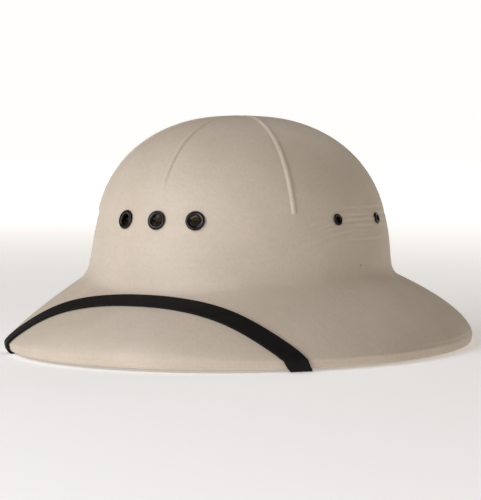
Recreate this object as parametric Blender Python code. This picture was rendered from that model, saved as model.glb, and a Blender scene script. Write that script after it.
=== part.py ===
"""Pith helmet: a pressed-fibre sun helmet with vent eyelets, a sweatband and a stowed chin strap.

Metres, +Z up. The origin is on the surface that the helmet rests on, under the middle of the rim.
The front faces -Y and the wearer's left is +X. A bearing is an angle round the helmet in degrees:
0 at the front, 90 at the wearer's left, 180 at the rear.
"""
from math import asin, cos, degrees, pi, radians, sin

import bmesh
import bpy
from mathutils import Matrix, Vector

MM = 0.001

# Rim, in plan: the line along its underside, as a distance from the rim's middle
RIM_MEAN = 157.2 * MM        # mean distance
RIM_OVAL = 14.8 * MM         # longer at front and rear, shorter at the sides
RIM_EGG = 1.4 * MM           # fuller at the rear corners than at the front ones

# Rolled bead along the rim, in section
BEAD_OUTER = 3.3 * MM        # from the rim line out to the widest point
BEAD_INNER = 2.3 * MM        # from the rim line in to the bead's inner face
BEAD_BELLY = 5.4 * MM        # height of the widest point
BEAD_TOP = 5.6 * MM          # height of the bead's inner side
BEAD_FLAT = 1.6 * MM         # width of the flat that it rests on

# Brim
BRIM_TOP = 47.5 * MM         # height where the brim meets the crown's wall
PEAK_DIP = 6.4 * MM          # it meets it lower by this at the very front
BRIM_FULLNESS_PEAK = 1.6     # at the very front; 1 is a straight cone, more is fuller near the rim
BRIM_FULLNESS_FRONT = 1.2    # to both sides of that
BRIM_FULLNESS_REAR = 1.65
FOOT_FILLET = 5.0 * MM       # how far out the hollow curve between crown and brim reaches
FOOT_RISE = 8.0 * MM         # how far up the crown's wall it reaches

# Crown: an oval dome on walls that are upright at first and flare out towards their foot
CROWN_FRONT = 112.1 * MM     # from the crown's middle to its front
CROWN_REAR = 109.5 * MM
CROWN_SIDE = 92.4 * MM
CROWN_MIDDLE_Y = -4.1 * MM
FLARE_TOP = 88.0 * MM        # the flare starts at this height
FLARE_FRONT = 0.062          # at the foot, the crown is wider by this share of its size
FLARE_REAR = 0.025
SPRING_HEIGHT = 64.1 * MM    # the dome springs from this height
DOME_HEIGHT = 86.9 * MM      # from there to the top
DOME_FULLNESS = 2.25         # 2 is an ellipse, more is squarer
APEX_LEAN = -3.8 * MM        # the top leans forward by this

WALL = 2.4 * MM              # the shell's thickness

# Ribs pressed up from the shell, near the top
RIB_BEARINGS = (0, 53, 127, 180, 233, 307)
RIB_WIDTH = 3.4 * MM
RIB_HEIGHT = 0.8 * MM
RIB_LOW = 88.8 * MM          # height of a rib's lower end
FRONT_RIB_LOW = 102.0 * MM   # the front one ends higher, above the eyelets
RIB_TOP_CLIMB = 78           # how far up the dome a rib runs, as a dome angle in degrees
RIB_SECTIONS = ((0, 0.35), (0.03, 0.8), (0.08, 1), (0.3, 1), (0.5, 1), (0.7, 0.9), (0.85, 0.7), (1, 0.3))
# each is how far along the rib from its lower end, and the share of its full width and height

# Vent eyelets
EYELET_HEIGHT = 84.6 * MM
FRONT_EYELET_BEARINGS = (-15.9, 0, 15.9)
SIDE_EYELET_BEARINGS = (71.6, 97.8)
FRONT_EYELET = {"flange": 6.1 * MM, "barrel": 4.3 * MM, "hole": 3.3 * MM, "dome": 1.3 * MM, "sides": 18}
SIDE_EYELET = {"flange": 3.8 * MM, "barrel": 2.6 * MM, "hole": 1.9 * MM, "dome": 0.9 * MM, "sides": 14}

EYELET_ROUND = 0.5 * MM      # width of the rounding at the mouth of the hole
EYELET_EDGE = 0.4 * MM       # width of the rounding at the flange's edge
EYELET_LIP = 0.7 * MM        # thickness of the lip that is rolled out inside

# Sweatband
BAND_LOW = 46.8 * MM
BAND_HEIGHT = 32.0 * MM
BAND_THICKNESS = 1.6 * MM
BAND_LEAN = 7.0 * MM         # how far its top edge stands away from the shell
BAND_CURVE = 1.3             # 1 leans straight, more stays close to the shell at the foot
BAND_ROWS = 4
BULGE_FLAT = 5.0             # it lets the strap's ends pass over this bearing to both sides of them
BULGE_FADE = 9.0             # and is back at the shell after this much more

# Chin strap, stowed over the front of the brim
STRAP_WIDTH = 12.5 * MM
STRAP_THICKNESS = 1.5 * MM
STRAP_MID = 0.23             # place across the brim at the very front: 0 at the crown, 1 at the rim
STRAP_CURVE = 2.4            # how late it swings out to the rim
STRAP_EDGE_BEARING = 38.5    # where it goes over the rim
STRAP_UNDER_BEARING = 40.6   # where it leaves the rim's underside
STRAP_ANCHOR_BEARING = 50.5  # where it goes up between shell and sweatband
STRAP_END_HEIGHT = 66.0 * MM
STRAP_BRIM_STEPS = (0, 0.1, 0.2, 0.3, 0.4, 0.5, 0.6, 0.68, 0.76, 0.83, 0.89, 0.94, 0.975, 0.995)
STRAP_RIM_STEPS = ((0, 0.2), (22, 0.4), (45, 0.6), (68, 0.8), (90, 0.9))
STRAP_FOOT_STEPS = (0.75, 0.5, 0.25)

GAP = 0.3 * MM               # between pieces that touch
FLAT_ON_CURVE = 0.35 * MM    # more room where a flat piece lies in a hollow wall
WELD = 0.01 * MM             # points closer than this are one point
COLUMNS = 64                 # facets round the shell and the sweatband

UP = Vector((0, 0, 1))
NO_FOLD = Vector((0, 0, 0))

TAN_FIBRE = ((0.52, 0.45, 0.36), 0.62, 0.0)      # colour, roughness, metallic
BLACK_ENAMEL = ((0.012, 0.010, 0.011), 0.18, 0.0)
BLACK_VINYL = ((0.016, 0.014, 0.015), 0.55, 0.0)
BLACK_STRAP = ((0.010, 0.009, 0.010), 0.60, 0.0)


def clear_scene():
    for thing in list(bpy.data.objects):
        bpy.data.objects.remove(thing, do_unlink=True)


def make_material(name, finish):
    colour, roughness, metallic = finish
    material = bpy.data.materials.new(name)
    material.use_nodes = True
    shader = material.node_tree.nodes["Principled BSDF"]
    shader.inputs["Base Color"].default_value = (*colour, 1)
    shader.inputs["Roughness"].default_value = roughness
    shader.inputs["Metallic"].default_value = metallic
    return material


def make_object(name, mesh_maker, material=None, smooth_angle=35):
    """Build a bmesh with mesh_maker and put it in the scene as a named object."""
    bm = bmesh.new()
    mesh_maker(bm)
    bmesh.ops.recalc_face_normals(bm, faces=bm.faces)
    mesh = bpy.data.meshes.new(name)
    bm.to_mesh(mesh)
    bm.free()
    mesh.shade_smooth()
    mesh.set_sharp_from_angle(angle=radians(smooth_angle))
    if material:
        mesh.materials.append(material)
    item = bpy.data.objects.new(name, mesh)
    bpy.context.scene.collection.objects.link(item)
    return item


def skin(bm, rings):
    """Join rings of equal length into a sheet; a ring of one point closes it as a pole."""
    rows = [[bm.verts.new(point) for point in ring] for ring in rings]
    for low, high in zip(rows, rows[1:]):
        count = max(len(low), len(high))
        for i in range(count):
            j = (i + 1) % count
            corners = [low[i % len(low)], low[j % len(low)], high[j % len(high)], high[i % len(high)]]
            bm.faces.new(list(dict.fromkeys(corners)))
    return rows


# ---- The shell's outer surface ------------------------------------------------------------------

def rim_plan(bearing):
    """x and y on the line along the underside of the rim, whose ends are equally far from the origin."""
    reach = RIM_MEAN + RIM_OVAL * cos(2 * bearing) - RIM_EGG * cos(3 * bearing)
    return reach * sin(bearing), -reach * cos(bearing) - RIM_EGG


def rim_height(y):
    """Height of the rim's plane at y, as the helmet rests on its rear and on the strap's two wraps."""
    wrap_y = rim_plan(radians(STRAP_UNDER_BEARING))[1]
    rear_y = rim_plan(pi)[1]
    return (GAP + STRAP_THICKNESS) * (rear_y - y) / (rear_y - wrap_y)


def rim_line(bearing):
    x, y = rim_plan(bearing)
    return Vector((x, y, rim_height(y)))


def smooth_share(value, low, high):
    """0 below low, 1 above high, and smooth in between."""
    share = min(max((value - low) / (high - low), 0), 1)
    return share * share * (3 - 2 * share)


def frontness(bearing):
    """1 over the whole front, 0 over the rear."""
    return smooth_share(cos(bearing), -0.6, 0.5)


def peak(bearing):
    """1 at the very front only."""
    return smooth_share(cos(bearing), 0.8, 1)


def brim_top(bearing):
    return BRIM_TOP - PEAK_DIP * peak(bearing)


def wall_point(bearing, height):
    """Point of the crown's wall, by its height above the rim's plane."""
    low = min(max((FLARE_TOP - height) / (FLARE_TOP - BRIM_TOP), 0), 1)
    flare = FLARE_REAR + (FLARE_FRONT - FLARE_REAR) * frontness(bearing)
    size = 1 + flare * low ** 1.5
    length = CROWN_FRONT if cos(bearing) > 0 else CROWN_REAR
    y = CROWN_MIDDLE_Y - length * size * cos(bearing)
    return Vector((CROWN_SIDE * size * sin(bearing), y, rim_height(y) + height))


def dome_point(bearing, climb):
    """Point on the dome; climb is 0 at the spring line and pi/2 at the top."""
    spread = cos(climb) ** (2 / DOME_FULLNESS)
    rise = sin(climb) ** (2 / DOME_FULLNESS)
    height = SPRING_HEIGHT + DOME_HEIGHT * rise
    wall = wall_point(bearing, height)
    y = CROWN_MIDDLE_Y + (wall.y - CROWN_MIDDLE_Y) * spread + APEX_LEAN * rise
    return Vector((wall.x * spread, y, rim_height(y) + height))


def dome_climb(height):
    """The climb at which the dome is at a height above the rim's plane."""
    return asin(((height - SPRING_HEIGHT) / DOME_HEIGHT) ** (DOME_FULLNESS / 2))


def brim_fullness(bearing):
    front = BRIM_FULLNESS_FRONT + (BRIM_FULLNESS_PEAK - BRIM_FULLNESS_FRONT) * peak(bearing)
    return BRIM_FULLNESS_REAR + (front - BRIM_FULLNESS_REAR) * frontness(bearing)


def brim_point(bearing, across):
    """Point on top of the brim; across is 0 at the crown's wall and 1 at the widest point."""
    outward = Vector((sin(bearing), -cos(bearing), 0))
    top = brim_top(bearing)
    widest = rim_line(bearing) + outward * BEAD_OUTER
    point = wall_point(bearing, top).lerp(widest, across)
    drop = max(1 - across, 0) ** (1 / brim_fullness(bearing))
    point.z = rim_height(point.y) + BEAD_BELLY + (top - BEAD_BELLY) * drop
    return point


def foot_point(bearing, share):
    """Point on the hollow curve between the crown's wall (share 0) and the brim (share 1)."""
    top = brim_top(bearing)
    start = wall_point(bearing, top + FOOT_RISE)
    corner = wall_point(bearing, top)
    width = (rim_line(bearing) - corner).to_2d().length
    end = brim_point(bearing, FOOT_FILLET / width)
    return start.lerp(corner, share).lerp(corner.lerp(end, share), share)


def bead_point(bearing, inward, height):
    """Point of the rim's bead, by its distance in from the rim line and its height."""
    outward = Vector((sin(bearing), -cos(bearing), 0))
    return rim_line(bearing) - outward * inward + Vector((0, 0, height))


# Stations down the outer surface, top to rim. A station is a (kind, value): "dome" and a dome angle in
# degrees, "wall" and a height above the rim's plane, "foot" and a share, or "brim" and a share.
DOME_CLIMBS = (80, 70, 60, 50, 40, 30, 20, 10, 0)
FOOT_SHARES = (0, 0.35, 0.7)
BRIM_SHARES = (0.1, 0.25, 0.4, 0.55, 0.68, 0.8, 0.89, 0.95)
UPWARD_STEP = {"dome": 0.5, "wall": 0.5 * MM, "foot": -0.004, "brim": -0.004}


def surface_point(bearing, station):
    kind, value = station
    if kind == "dome":
        return dome_point(bearing, radians(value))
    if kind == "wall":
        return wall_point(bearing, value)
    if kind == "foot":
        return foot_point(bearing, value)
    return brim_point(bearing, value)


def wall_station(height):
    """The station on the crown's wall or dome at a height above the rim's plane."""
    if height > SPRING_HEIGHT:
        return ("dome", degrees(dome_climb(height)))
    return ("wall", height)


def surface_normal(bearing, station):
    """Outward normal of the outer surface, from two short steps along it."""
    kind, value = station
    step = UPWARD_STEP[kind]
    low = max(value - step, 0) if kind == "dome" else value - step
    up = surface_point(bearing, (kind, value + step)) - surface_point(bearing, (kind, low))
    turn = radians(0.5)
    along = surface_point(bearing + turn, station) - surface_point(bearing - turn, station)
    return along.cross(up).normalized()


def outer_stations():
    stations = [("dome", climb) for climb in DOME_CLIMBS]
    stations += [("foot", share) for share in FOOT_SHARES]
    return stations + [("brim", share) for share in BRIM_SHARES]


def bead_section():
    """The bead, from its widest point under to its inner side, as (inward, height) pairs."""
    flat = BEAD_FLAT / 2
    section = []
    for turn in (0, 30, 60, 90):
        angle = radians(turn)
        section.append((-flat - (BEAD_OUTER - flat) * cos(angle), BEAD_BELLY * (1 - sin(angle))))
    for turn in (-90, -45, 0, 50):
        angle = radians(turn)
        section.append((flat + (BEAD_INNER - flat) * cos(angle), BEAD_TOP / 2 * (1 + sin(angle))))
    return section


def ring(point_at, columns=COLUMNS):
    return [point_at(2 * pi * i / columns) for i in range(columns)]


def shell_rings():
    stations = outer_stations()
    top = dome_point(0, pi / 2)
    rings = [[top]]
    rings += [ring(lambda b, s=s: surface_point(b, s)) for s in stations]
    rings += [ring(lambda b, p=p: bead_point(b, *p)) for p in bead_section()]
    rings += [ring(lambda b, s=s: surface_point(b, s) - surface_normal(b, s) * WALL)
              for s in reversed(stations)]
    rings.append([top - Vector((0, 0, WALL))])
    return rings


# ---- Ribs and vent holes ------------------------------------------------------------------------

def rib_rings(bearing):
    """Sections of one rib, a low ridge that follows the dome, sunk into the wall and tapered."""
    low = degrees(dome_climb(RIB_LOW if bearing else FRONT_RIB_LOW))
    rings = []
    for share, size in RIB_SECTIONS:
        station = ("dome", low + (RIB_TOP_CLIMB - low) * share)
        middle = surface_point(bearing, station)
        normal = surface_normal(bearing, station)
        side = Vector((cos(bearing), sin(bearing), 0))
        half = RIB_WIDTH / 2 * size
        height = RIB_HEIGHT * size
        outline = ((-half, -WALL / 2), (-half, 0), (-half / 2, height), (half / 2, height), (half, 0),
                   (half, -WALL / 2))
        rings.append([middle + side * x + normal * z for x, z in outline])
    return rings


def rib_mesh(bm, bearing):
    rows = skin(bm, rib_rings(bearing))
    bm.faces.new(rows[0])
    bm.faces.new(rows[-1])


def eyelet_frame(bearing):
    """Matrix that carries +Z to the shell's outward normal at an eyelet."""
    station = wall_station(EYELET_HEIGHT)
    middle = surface_point(bearing, station)
    normal = surface_normal(bearing, station)
    return Matrix.Translation(middle) @ normal.to_track_quat("Z", "Y").to_matrix().to_4x4()


def hole_mesh(bm, bearing, size):
    bmesh.ops.create_cone(bm, cap_ends=True, segments=size["sides"], radius1=size["barrel"] + GAP,
                          radius2=size["barrel"] + GAP, depth=8 * WALL, matrix=eyelet_frame(bearing))


def eyelet_mesh(bm, bearing, size):
    """A flanged tube: a domed flange outside, a barrel through the wall, a rolled lip inside."""
    back = -WALL - GAP - 2 * FLAT_ON_CURVE
    hole, barrel, flange = size["hole"], size["barrel"], size["flange"]
    lip = (flange + barrel) / 2
    profile = (
        (hole, 0),
        (hole + EYELET_ROUND, GAP + size["dome"] * 0.85),
        ((hole + flange) / 2, GAP + size["dome"]),
        (flange - EYELET_EDGE, GAP + size["dome"] * 0.6),
        (flange, GAP),
        (barrel, GAP),
        (barrel, back),
        (lip, back),
        (lip, back - EYELET_LIP / 2),
        (hole + EYELET_ROUND, back - EYELET_LIP),
        (hole, back - EYELET_LIP),
    )
    frame = eyelet_frame(bearing)
    rings = []
    for radius, height in profile + profile[:1]:
        turned = ring(lambda turn: Vector((radius * cos(turn), radius * sin(turn), height)), size["sides"])
        rings.append([frame @ point for point in turned])
    skin(bm, rings)
    bmesh.ops.remove_doubles(bm, verts=bm.verts, dist=WELD)


def cut_or_join(item, tool, operation):
    modifier = item.modifiers.new(tool.name, "BOOLEAN")
    modifier.operation = operation
    modifier.object = tool
    tool.hide_render = True
    tool.display_type = "WIRE"


def make_shell(material):
    shell = make_object("shell", lambda bm: skin(bm, shell_rings()), material)
    for number, bearing in enumerate(RIB_BEARINGS, 1):
        rib = make_object(f"rib_{number}", lambda bm: rib_mesh(bm, radians(bearing)))
        cut_or_join(shell, rib, "UNION")
    return shell


def make_eyelets(shell, material):
    left = [(f"side_eyelet_left_{n}", b, SIDE_EYELET) for n, b in enumerate(SIDE_EYELET_BEARINGS, 1)]
    right = [(f"side_eyelet_right_{n}", -b, SIDE_EYELET) for n, b in enumerate(SIDE_EYELET_BEARINGS, 1)]
    front = [(f"front_eyelet_{n}", b, FRONT_EYELET) for n, b in enumerate(FRONT_EYELET_BEARINGS, 1)]
    for name, bearing, size in front + left + right:
        hole = make_object(f"{name}_hole", lambda bm: hole_mesh(bm, radians(bearing), size))
        cut_or_join(shell, hole, "DIFFERENCE")
        make_object(name, lambda bm: eyelet_mesh(bm, radians(bearing), size), material)


# ---- Sweatband ----------------------------------------------------------------------------------

def strap_bulge(bearing):
    """How far the band stands in to let the strap's ends pass behind it: 1 there, 0 elsewhere."""
    turn = abs((degrees(bearing) + 180) % 360 - 180)
    away = abs(turn - STRAP_ANCHOR_BEARING)
    return 1 - smooth_share(away, BULGE_FLAT, BULGE_FLAT + BULGE_FADE)


def inner_wall_point(bearing, height, inset):
    """Point inside the crown, by its height above the rim's plane and its inset from the shell."""
    station = wall_station(height)
    point = surface_point(bearing, station)
    normal = surface_normal(bearing, station).to_2d().normalized().to_3d()
    point = point - normal * (WALL + inset)
    point.z = rim_height(point.y) + height
    return point


def band_rings():
    outer = []
    inner = []
    for row in range(BAND_ROWS + 1):
        share = row / BAND_ROWS
        height = BAND_LOW + BAND_HEIGHT * share
        lean = BAND_LEAN * share ** BAND_CURVE

        def inset(bearing):
            strap_room = STRAP_THICKNESS + GAP + 2 * FLAT_ON_CURVE
            return GAP + max(lean, strap_bulge(bearing) * strap_room)

        outer.append(ring(lambda b: inner_wall_point(b, height, inset(b))))
        inner.append(ring(lambda b: inner_wall_point(b, height, inset(b) + BAND_THICKNESS)))
    return outer + inner[::-1] + outer[:1]


def make_sweatband(material):
    def mesh(bm):
        skin(bm, band_rings())
        bmesh.ops.remove_doubles(bm, verts=bm.verts, dist=WELD)
    return make_object("sweatband", mesh, material)


# ---- Chin strap ---------------------------------------------------------------------------------
# Each station of the strap is (point, normal, fold): a point on what it lies on, the direction away
# from that, and the line along the rim that it is folded over. The fold's length says how fully the
# strap lies across along that line: 0 where it lies square to its own run, 1 where it rounds the rim.

def rim_direction(bearing):
    """Unit vector along the rim, towards the front."""
    step = radians(0.5)
    return (rim_line(bearing - step) - rim_line(bearing + step)).normalized()


def strap_over_brim():
    """The taut strap on top of the brim, from the front to the rim."""
    stations = []
    for share in STRAP_BRIM_STEPS:
        bearing = radians(STRAP_EDGE_BEARING * share)
        station = ("brim", STRAP_MID + (1 - STRAP_MID) * share ** STRAP_CURVE)
        fold = rim_direction(bearing) * share ** 5
        stations.append((surface_point(bearing, station), surface_normal(bearing, station), fold))
    return stations


def strap_round_bead():
    """Round the outside and underside of the rim's bead."""
    flat = BEAD_FLAT / 2
    stations = []
    for turn, share in STRAP_RIM_STEPS:
        angle = radians(turn)
        bearing = radians(STRAP_EDGE_BEARING + (STRAP_UNDER_BEARING - STRAP_EDGE_BEARING) * share)
        outward = Vector((sin(bearing), -cos(bearing), 0))
        inward = -flat - (BEAD_OUTER - flat) * cos(angle)
        point = bead_point(bearing, inward, BEAD_BELLY * (1 - sin(angle)))
        stations.append((point, outward * cos(angle) - UP * sin(angle), rim_direction(bearing)))
    bearing = radians(STRAP_UNDER_BEARING)
    outward = Vector((sin(bearing), -cos(bearing), 0))
    for turn in (0, 22):
        angle = radians(turn)
        inward = flat + (BEAD_INNER - flat) * sin(angle)
        point = bead_point(bearing, inward, BEAD_TOP / 2 * (1 - cos(angle)))
        stations.append((point, -outward * sin(angle) - UP * cos(angle), rim_direction(bearing)))
    return stations


def strap_inside_crown():
    """Over the rounded edge inside the crown's foot and up behind the sweatband."""
    bearing = radians(STRAP_ANCHOR_BEARING)
    stations = []
    for share in STRAP_FOOT_STEPS:
        station = ("foot", share)
        normal = surface_normal(bearing, station)
        point = surface_point(bearing, station) - normal * (WALL + FLAT_ON_CURVE)
        stations.append((point, -normal, NO_FOLD))
    for height in (brim_top(bearing) + FOOT_RISE, SPRING_HEIGHT, STRAP_END_HEIGHT):
        normal = surface_normal(bearing, wall_station(height))
        stations.append((inner_wall_point(bearing, height, FLAT_ON_CURVE), -normal, NO_FOLD))
    return stations


def strap_route():
    """Stations of the whole strap's middle, from the wearer's right to the left."""
    half = strap_over_brim() + strap_round_bead() + strap_inside_crown()
    lift = GAP + STRAP_THICKNESS / 2
    left = [(point + normal * lift, normal, fold) for point, normal, fold in half]
    flip = Vector((-1, 1, 1))
    right = [(point * flip, normal * flip, fold * flip) for point, normal, fold in left[1:]]
    return right[::-1] + left


def strap_mesh(bm):
    route = strap_route()
    rings = []
    for i, (point, normal, fold) in enumerate(route):
        before = route[max(i - 1, 0)][0]
        after = route[min(i + 1, len(route) - 1)][0]
        along = (after - before).normalized()
        square = along.cross(normal).normalized()
        across = (square * (1 - fold.length) + fold).normalized()
        face = across.cross(along).normalized()
        wide = across * (STRAP_WIDTH / 2 / across.cross(along).length)
        thick = face * STRAP_THICKNESS / 2
        outer = [point + wide + thick, point - wide + thick]
        rings.append(outer + [point - wide - thick, point + wide - thick])
    rows = skin(bm, rings)
    bm.faces.new(rows[0])
    bm.faces.new(rows[-1])


def main():
    clear_scene()
    shell = make_shell(make_material("tan_fibre", TAN_FIBRE))
    make_eyelets(shell, make_material("black_enamel", BLACK_ENAMEL))
    make_sweatband(make_material("black_vinyl", BLACK_VINYL))
    make_object("chin_strap", strap_mesh, make_material("black_strap", BLACK_STRAP))


main()
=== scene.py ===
# %% [markdown]
# # Dressing a pith helmet
# The frame is a plain, exact model of the helmet. This lesson gives it its surface: a finely pressed
# shell with ribs, ripples and a rolled rim, enamelled eyelets, a sweatband and a chin strap.
# Every length is in metres, +Z is up and the front of the helmet faces -Y.

# %% Load the frame
import math
import bpy
import numpy as np
from mathutils import Matrix, Vector


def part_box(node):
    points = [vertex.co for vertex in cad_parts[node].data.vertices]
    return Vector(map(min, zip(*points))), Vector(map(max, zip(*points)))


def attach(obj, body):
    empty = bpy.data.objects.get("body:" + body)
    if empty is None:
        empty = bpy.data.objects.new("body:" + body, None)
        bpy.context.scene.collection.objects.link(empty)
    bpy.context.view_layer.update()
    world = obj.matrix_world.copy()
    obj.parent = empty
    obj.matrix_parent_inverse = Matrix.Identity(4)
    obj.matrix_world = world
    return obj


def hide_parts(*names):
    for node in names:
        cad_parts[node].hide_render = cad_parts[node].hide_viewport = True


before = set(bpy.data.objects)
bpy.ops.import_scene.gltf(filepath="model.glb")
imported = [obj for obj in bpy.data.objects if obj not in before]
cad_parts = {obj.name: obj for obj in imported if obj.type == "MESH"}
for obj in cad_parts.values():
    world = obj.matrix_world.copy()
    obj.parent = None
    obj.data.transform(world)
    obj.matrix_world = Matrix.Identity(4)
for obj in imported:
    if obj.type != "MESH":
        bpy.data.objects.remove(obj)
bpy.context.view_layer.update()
MM = 0.001
for name in sorted(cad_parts):
    low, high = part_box(name)
    print(name, [round((b - a) / MM, 1) for a, b in zip(low, high)], "mm")

# %% [markdown]
# ## Camera
# The helmet is seen from its front left, 29 degrees round from straight ahead. Worn, it was seen from
# below its brim. Lying on a floor it can't be, so the camera stands just above the floor. A long
# lens from over a metre away keeps the near side of the brim from looking too big.

# %% Place the camera
AZIMUTH = math.radians(29.2)
ELEVATION = math.radians(3.0)
DISTANCE = 1.205
TARGET = Vector((-0.0035, -0.0038, 0.063))
back = Vector((math.sin(AZIMUTH) * math.cos(ELEVATION),
               -math.cos(AZIMUTH) * math.cos(ELEVATION),
               math.sin(ELEVATION)))
camera = bpy.data.objects.new("camera", bpy.data.cameras.new("camera"))
bpy.context.scene.collection.objects.link(camera)
camera.data.lens = 129.6
camera.location = TARGET + back * DISTANCE
camera.rotation_euler = (-back).to_track_quat("-Z", "Y").to_euler()
bpy.context.scene.camera = camera
print("camera at", [round(v, 3) for v in camera.location])

# %% [markdown]
# ## Small modelling tools
# `start_mesh` adds the primitive that a piece starts from, and makes sure that it is the only thing
# selected. `edit` runs operators in edit mode on all of the mesh. `points_of` and `move_points` read
# and set its points in one go. `finish_piece` turns a mesh into a piece of the helmet: it is named,
# shaded, dressed and tied to the frame.

# %% Modelling helpers
def start_mesh(name, add, **size):
    """Add a primitive as the only selected object."""
    bpy.ops.object.select_all(action="DESELECT")
    add(**size)
    piece = bpy.context.object
    piece.name = name
    return piece


def edit(*steps):
    """Run (operator, settings) steps on everything in the active mesh."""
    bpy.ops.object.mode_set(mode="EDIT")
    for operator, settings in steps:
        bpy.ops.mesh.select_all(action="SELECT")
        operator(**settings)
    bpy.ops.object.mode_set(mode="OBJECT")


def points_of(piece):
    """The mesh's points as rows of x, y, z."""
    found = np.empty(len(piece.data.vertices) * 3)
    piece.data.vertices.foreach_get("co", found)
    return found.reshape(-1, 3)


def move_points(piece, points):
    piece.data.vertices.foreach_set("co", np.asarray(points, float).ravel())
    piece.data.update()


def finish_piece(piece, name, materials, nodes=(), angle=40):
    """Name, shade and dress a piece, and tie it to the frame's body."""
    piece.name = name
    piece.data.name = name
    bpy.ops.object.select_all(action="DESELECT")
    piece.select_set(True)
    bpy.context.view_layer.objects.active = piece
    bpy.ops.object.shade_smooth_by_angle(angle=math.radians(angle))
    piece.data.materials.clear()
    for material in materials:
        piece.data.materials.append(material)
    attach(piece, "root")
    if nodes:
        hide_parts(*nodes)
    piece.data.calc_loop_triangles()
    print(name, len(piece.data.loop_triangles), "triangles")
    return piece

# %% [markdown]
# ## One node function for all finishes
# A finish is a small network of shader nodes. `add` puts one node in it, with its own settings,
# and links or sets its inputs. Colours are picked as hex values, which are sRGB, and Blender wants them
# linear, so `linear` converts them.

# %% Material helpers
def linear(code):
    """A hex colour as linear red, green, blue and alpha."""
    values = [int(code[i:i + 2], 16) / 255 for i in (1, 3, 5)]
    return tuple(v / 12.92 if v <= 0.04045 else ((v + 0.055) / 1.055) ** 2.4 for v in values) + (1.0,)


def add(tree, kind, inputs, stops=(), **settings):
    """Add one shader node; stops are the (place, value) pairs of a colour ramp, darkest first."""
    made = tree.nodes.new("ShaderNode" + kind)
    for name, value in settings.items():
        setattr(made, name, value)
    for place, value in inputs.items():
        if isinstance(value, bpy.types.NodeSocket):
            tree.links.new(value, made.inputs[place])
        else:
            made.inputs[place].default_value = value
    for i, (place, value) in enumerate(stops):
        stop = made.color_ramp.elements[i] if i < 2 else made.color_ramp.elements.new(place)
        stop.position = place
        stop.color = linear(value) if isinstance(value, str) else (value, value, value, 1)
    return made


def new_finish(name, **shader_values):
    """A material with a Principled shader; returns it with its tree and its shader."""
    material = bpy.data.materials.new(name)
    material.use_nodes = True
    tree = material.node_tree
    shader = tree.nodes["Principled BSDF"]
    for socket, value in shader_values.items():
        shader.inputs[socket.replace("_", " ")].default_value = value
    return material, tree, shader

# %% [markdown]
# ## The helmet's form, as numbers
# The real shell is wet fibre pressed in a mould, so it is one smooth form: a domed oval crown on
# walls that flare a little at their foot, and a brim that slopes down to a rolled rim. The frame was
# built from a few lengths, and the same lengths are used here, so that the fine shell lies on it.

# %% Lengths of the form
RIM_MEAN, RIM_OVAL, RIM_EGG = 157.2 * MM, 14.8 * MM, 1.4 * MM
BEAD_OUTER, BEAD_INNER, BEAD_BELLY = 3.3 * MM, 2.3 * MM, 5.4 * MM
BEAD_TOP, BEAD_FLAT = 5.6 * MM, 1.6 * MM
BRIM_TOP, PEAK_DIP = 47.5 * MM, 6.4 * MM
FULLNESS_PEAK, FULLNESS_FRONT, FULLNESS_REAR = 1.6, 1.2, 1.65
FOOT_FILLET, FOOT_RISE = 5.0 * MM, 8.0 * MM
CROWN_FRONT, CROWN_REAR, CROWN_SIDE = 112.1 * MM, 109.5 * MM, 92.4 * MM
CROWN_MIDDLE_Y = -4.1 * MM
FLARE_TOP, FLARE_FRONT, FLARE_REAR = 88.0 * MM, 0.062, 0.025
SPRING_HEIGHT, DOME_HEIGHT, DOME_FULLNESS = 64.1 * MM, 86.9 * MM, 2.25
APEX_LEAN = -3.8 * MM
WALL = 2.4 * MM
STRAP_GAP, STRAP_THICKNESS, STRAP_UNDER = 0.3 * MM, 1.5 * MM, math.radians(40.6)


def smooth_share(value, low, high):
    """0 below low, 1 above high, and a smooth step between."""
    share = np.clip((value - low) / (high - low), 0, 1)
    return share * share * (3 - 2 * share)


def rim_plan(b):
    """(x, y) of the rim's line at a bearing b: 0 in front, growing to the wearer's left."""
    reach = RIM_MEAN + RIM_OVAL * np.cos(2 * b) - RIM_EGG * np.cos(3 * b)
    return reach * np.sin(b), -reach * np.cos(b) - RIM_EGG


def rim_height(y):
    """The rim rests on the strap's wraps and on its rear, so its plane rises a little to the front."""
    rear, wrap = rim_plan(math.pi)[1], rim_plan(STRAP_UNDER)[1]
    return (STRAP_GAP + STRAP_THICKNESS) * (rear - y) / (rear - wrap)


def frontness(b):
    """1 round the front, fading to 0 behind."""
    return smooth_share(np.cos(b), -0.6, 0.5)


def peak(b):
    """1 straight ahead, where the brim dips like a peak, and 0 from 37 degrees on."""
    return smooth_share(np.cos(b), 0.8, 1)


def brim_top(b):
    """Height over the rim's plane where wall and brim would meet in a corner."""
    return BRIM_TOP - PEAK_DIP * peak(b)


def wall_at(b, height):
    """The crown's wall: an oval that widens towards its foot."""
    low = np.clip((FLARE_TOP - height) / (FLARE_TOP - BRIM_TOP), 0, 1)
    size = 1 + (FLARE_REAR + (FLARE_FRONT - FLARE_REAR) * frontness(b)) * low ** 1.5
    length = np.where(np.cos(b) > 0, CROWN_FRONT, CROWN_REAR)
    y = CROWN_MIDDLE_Y - length * size * np.cos(b)
    return np.stack([CROWN_SIDE * size * np.sin(b), y, rim_height(y) + height], -1)


def dome_at(b, climb):
    """The dome on the wall: climb runs from 0 at its foot to a quarter turn at the top."""
    spread = max(math.cos(climb), 0) ** (2 / DOME_FULLNESS)
    rise = math.sin(climb) ** (2 / DOME_FULLNESS)
    height = SPRING_HEIGHT + DOME_HEIGHT * rise
    wall = wall_at(b, height)
    y = CROWN_MIDDLE_Y + (wall[..., 1] - CROWN_MIDDLE_Y) * spread + APEX_LEAN * rise
    return np.stack([wall[..., 0] * spread, y, rim_height(y) + height], -1)


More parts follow.
